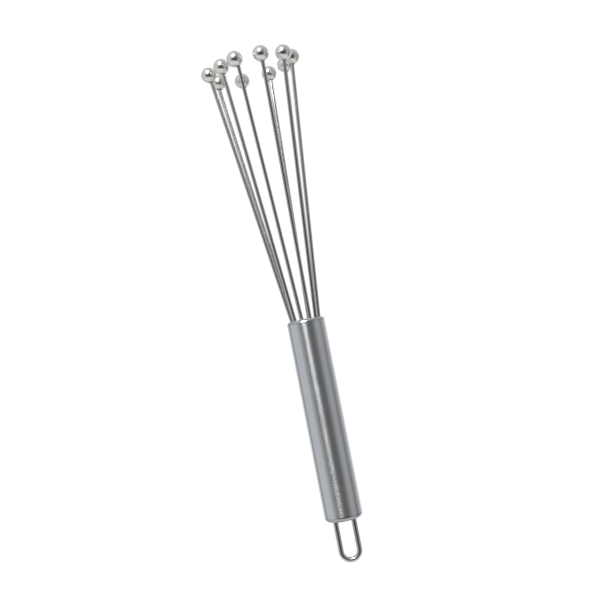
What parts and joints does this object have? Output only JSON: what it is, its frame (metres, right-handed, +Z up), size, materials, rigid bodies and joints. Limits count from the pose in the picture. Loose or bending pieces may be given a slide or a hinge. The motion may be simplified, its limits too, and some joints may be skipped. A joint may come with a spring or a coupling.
{
  "type": "ball whisk",
  "caption": "Hand whisk with a brushed tube handle, straight spring wires that fan out of its end and carry a ball on each tip, and a wire hanging loop.",
  "frame": {"origin": "on the handle's axis, halfway along the handle, which is the centre of its grip", "axes": "+Z up the handle to the balls, -Z to the hanging loop; the loop lies in the XZ plane; -Y is the side seen from the front"},
  "size_m": [0.0489, 0.0491, 0.2493],
  "materials": {
    "brushed_handle": "brushed round the tube, satin",
    "polished_wire": "polished spring wire",
    "polished_ball": "mirror polish",
    "casting_resin": "cast epoxy, hidden"
  },
  "bodies": {
    "handle": {"handle_tube": "brushed_handle", "head_cap": "brushed_handle", "tail_cap": "brushed_handle", "head_casting": "casting_resin", "tail_casting": "casting_resin", "hanging_loop": "polished_wire"},
    "tine_01": {"wire_01": "polished_wire", "ball_01": "polished_ball"},
    "tine_02": {"wire_02": "polished_wire", "ball_02": "polished_ball"},
    "tine_03": {"wire_03": "polished_wire", "ball_03": "polished_ball"},
    "tine_04": {"wire_04": "polished_wire", "ball_04": "polished_ball"},
    "tine_05": {"wire_05": "polished_wire", "ball_05": "polished_ball"},
    "tine_06": {"wire_06": "polished_wire", "ball_06": "polished_ball"},
    "tine_07": {"wire_07": "polished_wire", "ball_07": "polished_ball"},
    "tine_08": {"wire_08": "polished_wire", "ball_08": "polished_ball"},
    "tine_09": {"wire_09": "polished_wire", "ball_09": "polished_ball"},
    "tine_10": {"wire_10": "polished_wire", "ball_10": "polished_ball"}
  },
  "joints": [
    {"name": "flex_01", "type": "hinge", "parent": "handle", "child": "tine_01", "pos_m": [0.00665, -0.0001, 0.049], "axis": [0.0157, 0.9999, 0], "range_deg": [-2, 5], "stiffness_Nm_per_rad": 2.35, "deforming": ["wire_01"]},
    {"name": "flex_02", "type": "hinge", "parent": "handle", "child": "tine_02", "pos_m": [0.00535, 0.00396, 0.049], "axis": [-0.5948, 0.8039, 0], "range_deg": [-2, 5], "stiffness_Nm_per_rad": 2.35, "deforming": ["wire_02"]},
    {"name": "flex_03", "type": "hinge", "parent": "handle", "child": "tine_03", "pos_m": [0.00174, 0.00642, 0.049], "axis": [-0.965, 0.2622, 0], "range_deg": [-2, 5], "stiffness_Nm_per_rad": 2.35, "deforming": ["wire_03"]},
    {"name": "flex_04", "type": "hinge", "parent": "handle", "child": "tine_04", "pos_m": [-0.00188, 0.00638, 0.049], "axis": [-0.9593, -0.2823, 0], "range_deg": [-2, 5], "stiffness_Nm_per_rad": 2.35, "deforming": ["wire_04"]},
    {"name": "flex_05", "type": "hinge", "parent": "handle", "child": "tine_05", "pos_m": [-0.0059, 0.00306, 0.049], "axis": [-0.4602, -0.8878, 0], "range_deg": [-2, 5], "stiffness_Nm_per_rad": 2.35, "deforming": ["wire_05"]},
    {"name": "flex_06", "type": "hinge", "parent": "handle", "child": "tine_06", "pos_m": [-0.00665, 0.0001, 0.049], "axis": [-0.0157, -0.9999, 0], "range_deg": [-2, 5], "stiffness_Nm_per_rad": 2.35, "deforming": ["wire_06"]},
    {"name": "flex_07", "type": "hinge", "parent": "handle", "child": "tine_07", "pos_m": [-0.00503, -0.00435, 0.049], "axis": [0.6534, -0.757, 0], "range_deg": [-2, 5], "stiffness_Nm_per_rad": 2.35, "deforming": ["wire_07"]},
    {"name": "flex_08", "type": "hinge", "parent": "handle", "child": "tine_08", "pos_m": [-0.00168, -0.00644, 0.049], "axis": [0.9677, -0.2521, 0], "range_deg": [-2, 5], "stiffness_Nm_per_rad": 2.35, "deforming": ["wire_08"]},
    {"name": "flex_09", "type": "hinge", "parent": "handle", "child": "tine_09", "pos_m": [0.00232, -0.00623, 0.049], "axis": [0.9373, 0.3486, 0], "range_deg": [-2, 5], "stiffness_Nm_per_rad": 2.35, "deforming": ["wire_09"]},
    {"name": "flex_10", "type": "hinge", "parent": "handle", "child": "tine_10", "pos_m": [0.00508, -0.00429, 0.049], "axis": [0.6455, 0.7638, 0], "range_deg": [-2, 5], "stiffness_Nm_per_rad": 2.35, "deforming": ["wire_10"]}
  ]
}
